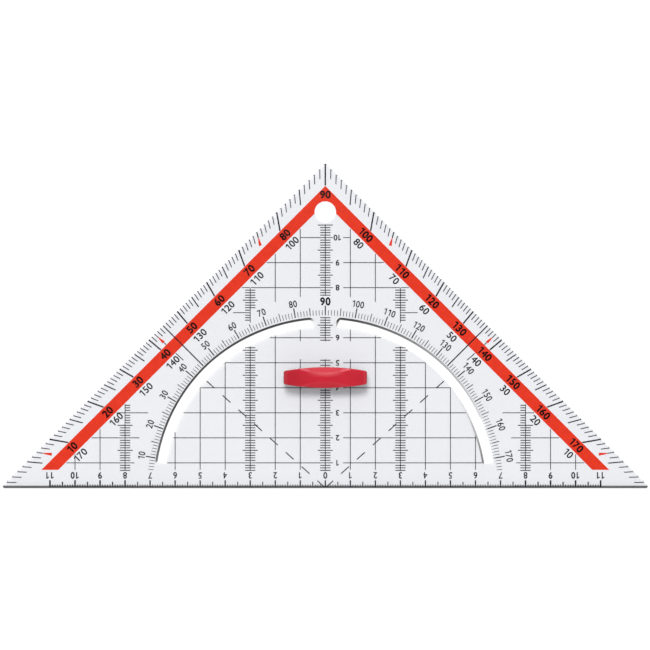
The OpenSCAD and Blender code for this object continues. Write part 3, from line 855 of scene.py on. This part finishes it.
def grip_levels(s):
    """Heights of the grip's rings with what each gives up at its sides and at its ends."""
    levels = []
    for step in range(FOOT_STEPS):
        turn = math.pi / 2 * step / FOOT_STEPS
        give = s.foot_round * (1 - math.sin(turn))
        levels.append((s.foot_round * (1 - math.cos(turn)), give, give))
    straight = GRIP_TALL - s.brow - s.foot_round
    for step in range(SIDE_STEPS):
        levels.append((s.foot_round + straight * step / SIDE_STEPS, 0.0, 0.0))
    for step in range(BROW_STEPS + 1):
        turn = math.pi / 2 * step / BROW_STEPS
        height = GRIP_TALL - s.brow * (1 - math.sin(turn))
        levels.append((height, 0.0, s.brow * (1 - math.cos(turn))))
    return levels


def top_give(s, across, height):
    """How far the grip's side gives way to its rounded top edge at a height."""
    crisp = smooth_share(abs(across), s.soft_reach, s.crisp_reach)
    radius = s.top_round + (s.side_round - s.top_round) * crisp
    above = max(0.0, height - (GRIP_TALL - radius))
    return radius - math.sqrt(max(0.0, radius ** 2 - above ** 2))


def top_fall(s, x, y, height):
    """How far the grip's crowned top falls off beside its middle, at a share of the grip's height."""
    middle = max(0.0, 1 - (x / s.crown_reach) ** 2) ** 2
    beside = y / (s.middle_width / 2 - s.scoop_depth)
    return s.crown * middle * min(1.0, beside * beside) * smooth_share(height, CROWN_START, 1.0)


def grip_ring(s, height, side_in, end_in):
    """One ring of the grip: lower side, right end, upper side, left end, with the hollow of each point."""
    reach = GRIP_HALF - end_in
    straight = reach - s.corner
    side = []
    for step in range(END_STEPS + 1):
        turn = math.pi / 2 * (1 - step / END_STEPS)
        width, hollow = grip_side(s, straight, height)
        width -= side_in + top_give(s, straight, height)
        side.append((-straight - s.corner * math.sin(turn), width - s.corner * (1 - math.cos(turn)), hollow))
    for step in range(1, GRIP_COLUMNS):
        across = straight * (2 * step / GRIP_COLUMNS - 1)
        width, hollow = grip_side(s, across, height)
        side.append((across, width - side_in - top_give(s, across, height), hollow))
    side += [(-x, width, hollow) for x, width, hollow in reversed(side[:END_STEPS + 1])]
    end = side[0][1]
    flat = [end * (2 * row / GRIP_ROWS - 1) for row in range(1, GRIP_ROWS)]
    points = [(x, -width, hollow) for x, width, hollow in side]
    points += [(reach, y, 0.0) for y in flat]
    points += [(x, width, hollow) for x, width, hollow in reversed(side)]
    points += [(-reach, -y, 0.0) for y in flat]
    return points, len(side)


def cap_grip(bm, s, ring, count):
    """The grip's top, as a grid between its two sides."""
    ends = GRIP_ROWS - 1
    lower = ring[:count]
    right = ring[count:count + ends]
    upper = ring[count + ends:2 * count + ends][::-1]
    left = ring[2 * count + ends:][::-1]
    grid = [lower]
    for row in range(1, GRIP_ROWS):
        line = [left[row - 1]]
        for low, high in zip(lower[1:-1], upper[1:-1]):
            point = low.co.lerp(high.co, row / GRIP_ROWS)
            point.z = GRIP_HIGH.z - top_fall(s, point.x, point.y - GRIP_MIDDLE, 1.0)
            line.append(bm.verts.new(point))
        line.append(right[row - 1])
        grid.append(line)
    grid.append(upper)
    for low, high in zip(grid, grid[1:]):
        for i in range(count - 1):
            bm.faces.new((low[i], low[i + 1], high[i + 1], high[i])).smooth = True


def rounded_box(half_x, half_y, radius):
    """Outline of a rectangle with round corners."""
    points = []
    for quarter, (sx, sy) in enumerate(((1, 1), (-1, 1), (-1, -1), (1, -1))):
        middle = (sx * (half_x - radius), sy * (half_y - radius))
        points += arc(middle, radius, math.pi / 2 * quarter, math.pi / 2 * (quarter + 1), CORE_STEPS)
    return points


def add_peg(bm, s, across):
    """One peg as two springing halves with a lead at the tip."""
    tip = GRIP_LOW.z
    gap = s.slit / 2
    for side in (-1, 1):
        rings = []
        for height, radius in ((tip, s.peg_radius - PEG_LEAD), (tip + PEG_LEAD, s.peg_radius),
                               (GRIP_SEAT + PEG_ROOT, s.peg_radius)):
            turn = math.acos(gap / radius)
            outline = arc((0.0, 0.0), radius, -turn, turn, PEG_STEPS)
            rings.append((height, [(across + side * x, GRIP_MIDDLE + y) for x, y in outline]))
        made = ring_walls(bm, rings, 0)[0]
        for loop in (made[0], made[-1]):
            sharp_loop(bm, loop)
            bm.faces.new(loop)


def build_grip(s):
    """The moulded grip: waisted by two finger scoops, cored from below, with two pegs."""
    bm = bmesh.new()
    rub = bm.verts.layers.float.new("rub")
    rings = []
    for height, side_in, end_in in grip_levels(s):
        points, count = grip_ring(s, height, side_in, end_in)
        edge_mark = min(1.0, max(top_give(s, 0.0, height), END_RUB * end_in) / s.top_round)
        lift = min(GRIP_SEAT + height, GRIP_HIGH.z)
        ring = []
        for x, y, hollow in points:
            vert = bm.verts.new((x, y + GRIP_MIDDLE, lift - top_fall(s, x, y, height / GRIP_TALL)))
            # Painted highlight: glints on the far crests and light in the far scoop, over a light rub along
            # every top edge; the near side keeps a small share.
            crest_glint = smooth_share(abs(x), CREST_GLINT[0], CREST_GLINT[1]) * smooth_share(abs(x), CREST_GLINT[3], CREST_GLINT[2])
            far = 1.0 if y > 0 else NEAR_HIGHLIGHT_SHARE
            vert[rub] = max(edge_mark * (EDGE_RUB + (1 - EDGE_RUB) * far * crest_glint), s.scoop_rub * far * hollow)
            ring.append(vert)
        rings.append(ring)
    wall_faces(bm, rings)
    cap_grip(bm, s, rings[-1], count)
    core = [(x, y + GRIP_MIDDLE) for x, y in rounded_box(CORE_HALF_LENGTH, CORE_HALF_WIDTH, CORE_CORNER)]
    mouth, ceiling = ring_walls(bm, ((GRIP_SEAT, core), (GRIP_SEAT + CORE_DEPTH, core)), 0)[0]
    fill_loops(bm, [rings[0], mouth], (0.0, 0.0, -1.0))
    sharp_loop(bm, ceiling)
    bm.faces.new(ceiling)
    for side in (-1, 1):
        add_peg(bm, s, side * s.peg_spacing / 2)
    return finish_mesh(bm, "moulded_grip")


# Numerals

def join(tree, *parts):
    """Several geometries as one."""
    node = tree.nodes.new("GeometryNodeJoinGeometry")
    for part in parts:
        tree.links.new(part, node.inputs[0])
    return node


def flag_of_one(tree, start, enter, face):
    """The slanted flag at the head of a figure one, and nothing beside the other digits."""
    box = add_node(tree, "GeometryNodeBoundBox", {0: face})
    high = split(tree, box.outputs["Max"])
    left = split(tree, box.outputs["Min"])["X"]
    head = high["Y"]
    weight = math_node(tree, "SUBTRACT", high["X"], left)
    reach = math_node(tree, "MULTIPLY", enter.outputs["height"], start.outputs["Flag reach"])
    drop = math_node(tree, "MULTIPLY", enter.outputs["height"], start.outputs["Flag drop"])
    tip = math_node(tree, "SUBTRACT", left, reach)
    fall = math_node(tree, "SUBTRACT", head, drop)
    places = ((left, head), (tip, fall), (tip, math_node(tree, "SUBTRACT", fall, weight)),
              (left, math_node(tree, "SUBTRACT", head, weight)))
    corners = {}
    for number, (across, up) in enumerate(places, 1):
        corners["Point " + str(number)] = combine(tree, across, up, 0.0)
    outline = add_node(tree, "GeometryNodeCurvePrimitiveQuadrilateral", corners, mode="POINTS")
    flag = add_node(tree, "GeometryNodeFillCurve", {0: outline}, mode="TRIANGLES")
    is_one = add_node(tree, "FunctionNodeCompare", {2: enter.outputs["digit"], 3: 1}, data_type="INT",
                      operation="EQUAL")
    choice = add_node(tree, "GeometryNodeSwitch", {"Switch": is_one, "True": flag}, input_type="GEOMETRY")
    return choice.outputs[0]


def one_digit(tree, start, enter):
    """A digit of the built-in typeface, swollen, centred, narrowed, turned and put in its place."""
    words = add_node(tree, "FunctionNodeValueToString", {0: enter.outputs["digit"]}, data_type="INT")
    size = math_node(tree, "DIVIDE", enter.outputs["height"], start.outputs["Digit share"])
    curves = add_node(tree, "GeometryNodeStringToCurves", {"String": words, "Size": size},
                      align_x="CENTER", align_y="MIDDLE")
    real = add_node(tree, "GeometryNodeRealizeInstances", {0: curves})
    points = add_node(tree, "GeometryNodeResampleCurve", {"Curve": real}, mode="EVALUATED")
    along = tree.nodes.new("GeometryNodeInputTangent")
    out = vector_math(tree, "CROSS_PRODUCT", {0: along, 1: (0.0, 0.0, 1.0)})
    push = vector_math(tree, "SCALE", {0: out, "Scale": enter.outputs["gain"]})
    swell = add_node(tree, "GeometryNodeSetPosition", {"Geometry": points, "Offset": push})
    face = add_node(tree, "GeometryNodeFillCurve", {0: swell}, mode="TRIANGLES")
    whole = join(tree, face.outputs[0], flag_of_one(tree, start, enter, face))
    box = add_node(tree, "GeometryNodeBoundBox", {0: whole})
    both = vector_math(tree, "ADD", {0: box.outputs["Min"], 1: box.outputs["Max"]})
    back = vector_math(tree, "SCALE", {0: both, "Scale": -0.5})
    middle = add_node(tree, "GeometryNodeTransform", {"Geometry": whole, "Translation": back})
    spin = combine(tree, 0.0, 0.0, enter.outputs["turn"])
    narrow = combine(tree, enter.outputs["width"], 1.0, 1.0)
    placed = add_node(tree, "GeometryNodeTransform", {
        "Geometry": middle, "Translation": enter.outputs["place"], "Rotation": spin, "Scale": narrow})
    return placed.outputs[0]


def last_geometry(sockets):
    """The last geometry socket of a node."""
    return [socket for socket in sockets if socket.type == "GEOMETRY"][-1]


def numeral_tree():
    """Geometry Nodes that set a digit at each point, from the fields that the point carries."""
    name = "numeral_rows"
    if name in bpy.data.node_groups:
        return bpy.data.node_groups[name]
    tree, start, end = new_group(
        name, "GeometryNodeTree",
        (("Places", "NodeSocketGeometry", None), ("Film top", "NodeSocketFloat", 0.0),
         ("Film thickness", "NodeSocketFloat", 0.05 * MM), ("Digit share", "NodeSocketFloat", 0.7),
         ("Flag reach", "NodeSocketFloat", 0.26), ("Flag drop", "NodeSocketFloat", 0.15),
         ("Ink", "NodeSocketMaterial", None)),
        (("Numerals", "NodeSocketGeometry"),))
    enter = tree.nodes.new("GeometryNodeForeachGeometryElementInput")
    leave = tree.nodes.new("GeometryNodeForeachGeometryElementOutput")
    enter.pair_with_output(leave)
    tree.links.new(start.outputs["Places"], enter.inputs["Geometry"])
    for item, kind in DIGIT_FIELDS:
        leave.input_items.new(kind, item)
        read = add_node(tree, "GeometryNodeInputNamedAttribute", {"Name": item}, data_type=kind)
        tree.links.new(read.outputs["Attribute"], enter.inputs[item])
    leave.input_items.new("VECTOR", "place")
    tree.links.new(tree.nodes.new("GeometryNodeInputPosition").outputs[0], enter.inputs["place"])
    tree.links.new(one_digit(tree, start, enter), last_geometry(leave.inputs))
    thickness = start.outputs["Film thickness"]
    foot = math_node(tree, "SUBTRACT", start.outputs["Film top"], thickness)
    low = add_node(tree, "GeometryNodeTransform", {
        "Geometry": last_geometry(leave.outputs), "Translation": combine(tree, 0.0, 0.0, foot)})
    thick = add_node(tree, "GeometryNodeExtrudeMesh", {
        "Mesh": low, "Offset": (0.0, 0.0, 1.0), "Offset Scale": thickness, "Individual": False})
    under = add_node(tree, "GeometryNodeFlipFaces", {0: low})
    closed = join(tree, thick.outputs[0], under.outputs[0])
    welded = add_node(tree, "GeometryNodeMergeByDistance", {"Geometry": closed, "Distance": 0.0001 * MM})
    solid = add_node(tree, "GeometryNodeRealizeInstances", {0: welded})
    inked = add_node(tree, "GeometryNodeSetMaterial", {"Geometry": solid, "Material": start.outputs["Ink"]})
    tree.links.new(inked.outputs[0], end.inputs["Numerals"])
    return tree


def digit_rows(rows):
    """Figures split into digits that stand side by side along their turn."""
    digits = []
    for figure, x, y, turn, (height, gain, step, width) in rows:
        text = str(figure)
        for number, digit in enumerate(text):
            along = (number - (len(text) - 1) / 2) * step * height
            place = (x + along * math.cos(turn), y + along * math.sin(turn), 0.0)
            digits.append((place, int(digit), turn, height, gain, width))
    return digits


def set_numerals(name, rows, film_top, ink):
    """A piece with a figure at each place, each as (figure, x, y, turn, (height, gain, step, width))."""
    digits = digit_rows(rows)
    mesh = bpy.data.meshes.new(name)
    mesh.from_pydata([row[0] for row in digits], [], [])
    for column, (item, kind) in enumerate(DIGIT_FIELDS, 1):
        values = [row[column] for row in digits]
        mesh.attributes.new(item, kind, "POINT").data.foreach_set("value", values)
    piece = new_object(name, mesh)
    modifier = piece.modifiers.new("numerals", "NODES")
    modifier.node_group = numeral_tree()
    values = {"Film top": film_top, "Film thickness": -FILM_LOW, "Ink": ink}
    for item in modifier.node_group.interface.items_tree:
        if item.in_out == "INPUT" and item.name in values:
            modifier[item.identifier] = values[item.name]
    ready = piece.evaluated_get(bpy.context.evaluated_depsgraph_get())
    plain = bpy.data.meshes.new_from_object(ready)
    if not plain.polygons:
        raise RuntimeError(name + " came out empty")
    piece.modifiers.remove(modifier)
    plain.name = name
    piece.data = plain
    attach(piece, "triangle")


def leg_rows(distance, style, lead, rising, off_ray):
    """Figures along both legs, where their rays meet a line. rising counts up over the top from the left."""
    rows = []
    for ray in range(10, 90, 10):
        for side in (-1, 1):
            along = LABEL_LINE * math.tan(math.pi / 4 - math.radians(ray)) + side * lead
            up = off_ray.get((side, ray), 0.0) * MM / ROOT_TWO
            x = side * (distance + along) / ROOT_TWO - side * up
            y = (distance - along) / ROOT_TWO + up
            figure = ray if (side < 0) == rising else 180 - ray
            rows.append((figure, x, y, -side * math.pi / 4, style))
    return rows


def arc_rows(s):
    """Figures round the arc, upright along their rays."""
    rows = []
    for figure in range(10, 180, 10):
        ray = math.pi - math.radians(figure)
        style = (s.arc_figure, s.arc_gain, s.arc_step, s.arc_width)
        if figure == 90:
            style = (s.right_angle_figure, s.bold_gain, s.right_angle_step, s.right_angle_width)
        lead = s.arc_lead if figure > 90 else 0.0
        x = s.arc_middle * math.cos(ray) + lead * math.sin(ray)
        y = s.arc_middle * math.sin(ray) - lead * math.cos(ray)
        rows.append((figure, x, y, ray - math.pi / 2, style))
    return rows


def base_rows(s):
    """Figures along the ruling edge, read from the other side."""
    plain = (s.base_figure, s.plain_gain, s.plain_step, s.base_width)
    bold = (s.base_figure, s.half_gain, s.plain_step, s.base_width)
    return [(abs(k), k * CENTIMETRE, s.base_middle, math.pi, bold if abs(k) >= BOLD_BASE else plain)
            for k in range(-11, 12)]


def centre_rows(s):
    """Figures up the middle, read from the other side, without the one that the arc crosses."""
    style = (s.centre_figure, s.plain_gain, s.plain_step, 1.0)
    return [(k, s.centre_offset, k * CENTIMETRE, math.pi, style) for k in (1, 2, 3, 4, 5, 6, 8, 9, 10)]


# Operators

class TRIANGLE_OT_make_sheet(bpy.types.Operator):
    """Make the clear sheet"""

    bl_idname = "triangle.make_sheet"
    bl_label = "Clear sheet"

    def execute(self, context):
        s = settings("triangle_sheet")
        mesh = build_sheet(s)
        for material in (sheet_material(s), edge_material(s.edge_tint),
                         worn_edge_material(s.graphite, s.pale_edge), ruling_edge_material(s)):
            mesh.materials.append(material)
        piece = finish_piece("clear_sheet_body", mesh, "triangle")
        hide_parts("plate")
        return {"FINISHED"}


class TRIANGLE_OT_dress_print(bpy.types.Operator):
    """Give the printed lines and bands their inks"""

    bl_idname = "triangle.dress_print"
    bl_label = "Printed lines"

    def execute(self, context):
        s = settings("triangle_print")
        for names, ink in ((BLACK_NODES, ink_material("black_ink", s.black)),
                           (RED_NODES, ink_material("red_ink", s.red))):
            for name in names:
                slots = frame["nodes"][name].data.materials
                slots.clear()
                slots.append(ink)
        return {"FINISHED"}


class TRIANGLE_OT_make_numerals(bpy.types.Operator):
    """Set the figures of all scales"""

    bl_idname = "triangle.make_numerals"
    bl_label = "Numerals"

    def execute(self, context):
        s = settings("triangle_print")
        ink = bpy.data.materials["black_ink"]
        bold = (s.band_figure, s.bold_gain, s.band_step, 1.0)
        band = leg_rows(s.band_middle, bold, 0.0, True, BAND_OFF)
        band.append((90, 0.0, s.band_top, 0.0, bold))
        plain = (s.row_figure, s.plain_gain, s.plain_step, 1.0)
        row = leg_rows(s.row_middle, plain, s.row_lead, False, ROW_OFF)
        set_numerals("band_numerals", band, s.band_sink, ink_material("band_black_ink", s.band_black))
        for name, rows in (("row_numerals", row), ("arc_numerals", arc_rows(s)),
                           ("base_numerals", base_rows(s)), ("centre_numerals", centre_rows(s))):
            set_numerals(name, rows, 0.0, ink)
        return {"FINISHED"}


class TRIANGLE_OT_make_grip(bpy.types.Operator):
    """Make the moulded grip"""

    bl_idname = "triangle.make_grip"
    bl_label = "Grip"

    def execute(self, context):
        s = settings("triangle_grip")
        mesh = build_grip(s)
        mesh.materials.append(grip_material(s.plastic, s.rubbed))
        piece = finish_piece("moulded_grip", mesh, "handle")
        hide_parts("grip")
        return {"FINISHED"}


class TRIANGLE_OT_set_stage(bpy.types.Operator):
    """Lay the floor, light it and aim the camera"""

    bl_idname = "triangle.set_stage"
    bl_label = "Stage"

    def execute(self, context):
        s = settings("triangle_stage")
        scene = context.scene
        scene.view_settings.view_transform = "Standard"
        mesh = bpy.data.meshes.new("studio_floor")
        rim = arc((0.0, s.view_middle), FLOOR_RADIUS, 0.0, 2 * math.pi, FLOOR_STEPS)[:-1]
        level = CAD_BOX[0].z - FLOOR_GAP
        mesh.from_pydata([(x, y, level) for x, y in rim], [], [list(range(len(rim)))])
        mesh.materials.append(floor_material(s.floor))
        floor = new_object("studio_floor", mesh)
        self.light(scene, s)
        self.aim(scene, s)
        return {"FINISHED"}

    def light(self, scene, s):
        """A soft key from behind on the left, and an even fill from all round."""
        lamp = bpy.data.lights.new("key", "SUN")
        lamp.energy = s.key_strength
        lamp.angle = s.key_spread
        key = new_object("key", lamp)
        towards = Vector((-math.sin(s.key_turn) * math.cos(s.key_height),
                          math.cos(s.key_turn) * math.cos(s.key_height), math.sin(s.key_height)))
        key.rotation_euler = towards.to_track_quat("Z", "Y").to_euler()
        key.location = towards
        key.visible_glossy = False
        world = bpy.data.worlds.new("soft_fill")
        world.use_nodes = True
        tree = world.node_tree
        tree.nodes.clear()
        path = tree.nodes.new("ShaderNodeLightPath")
        soft = add_node(tree, "ShaderNodeMix", {0: path.outputs["Is Glossy Ray"], 2: s.fill_strength,
                                                3: self.mirrored_fill(tree, s, towards)})
        fill = add_node(tree, "ShaderNodeBackground", {"Color": (*WHITE, 1.0), "Strength": soft})
        wall = add_node(tree, "ShaderNodeBackground", {"Color": (*WHITE, 1.0), "Strength": 1.0})
        mix = add_node(tree, "ShaderNodeMixShader", {0: path.outputs["Is Camera Ray"], 1: fill, 2: wall})
        add_node(tree, "ShaderNodeOutputWorld", {0: mix})
        scene.world = world

    def mirrored_fill(self, tree, s, towards):
        """The fill as gloss mirrors it: more from behind, dim overhead, with a glow round the key."""
        way = tree.nodes.new("ShaderNodeTexCoord").outputs["Generated"]
        parts = split(tree, way)
        leaning = carry(tree, parts["Y"], s.fill_strength * (1 - s.mirror_lean),
                        s.fill_strength * (1 + s.mirror_lean), -1.0, 1.0)
        overhead = carry(tree, parts["Z"], 1.0, s.zenith_share, *OVERHEAD)
        beside = vector_math(tree, "DOT_PRODUCT", {0: way, 1: towards}).outputs["Value"]
        glow = math_node(tree, "MULTIPLY", soft_step(tree, beside, *GLOW), s.mirror_glow)
        return math_node(tree, "ADD", math_node(tree, "MULTIPLY", leaning, overhead), glow)

    def aim(self, scene, s):
        """A camera straight above, with the right angle at the top of the view."""
        lens = bpy.data.cameras.new("camera")
        lens.sensor_width = 36.0
        lens.sensor_fit = "HORIZONTAL"
        lens.lens = lens.sensor_width * s.camera_height / s.frame_width
        lens.clip_start = 0.01
        lens.clip_end = 50.0
        camera = new_object("camera", lens)
        camera.matrix_world = Matrix.Translation((s.view_side, s.view_middle, s.camera_height))
        scene.camera = camera


class TRIANGLE_PT_panel(bpy.types.Panel):
    """Steps that make the triangle"""

    bl_idname = "TRIANGLE_PT_panel"
    bl_label = "Geometry triangle"
    bl_space_type = "VIEW_3D"
    bl_region_type = "UI"
    bl_category = "Triangle"

    def draw(self, context):
        for step in STEPS:
            self.layout.operator(step.bl_idname)


STEPS = (TRIANGLE_OT_set_stage, TRIANGLE_OT_make_sheet, TRIANGLE_OT_dress_print, TRIANGLE_OT_make_numerals,
         TRIANGLE_OT_make_grip)
GROUPS = (("triangle_sheet", SheetSettings), ("triangle_print", PrintSettings),
          ("triangle_grip", GripSettings), ("triangle_stage", StageSettings))


def register():
    """Register the settings, the operators and the panel."""
    for name, group in GROUPS:
        bpy.utils.register_class(group)
        setattr(bpy.types.Scene, name, PointerProperty(type=group))
    for step in STEPS:
        bpy.utils.register_class(step)
    bpy.utils.register_class(TRIANGLE_PT_panel)


def unregister():
    """Take back what register made."""
    bpy.utils.unregister_class(TRIANGLE_PT_panel)
    for step in reversed(STEPS):
        bpy.utils.unregister_class(step)
    for name, group in reversed(GROUPS):
        delattr(bpy.types.Scene, name)
        bpy.utils.unregister_class(group)


def main():
    """Make everything in order."""
    register()
    bpy.ops.triangle.set_stage()
    bpy.ops.triangle.make_sheet()
    bpy.ops.triangle.dress_print()
    bpy.ops.triangle.make_numerals()
    bpy.ops.triangle.make_grip()


if __name__ == "__main__":
    main()
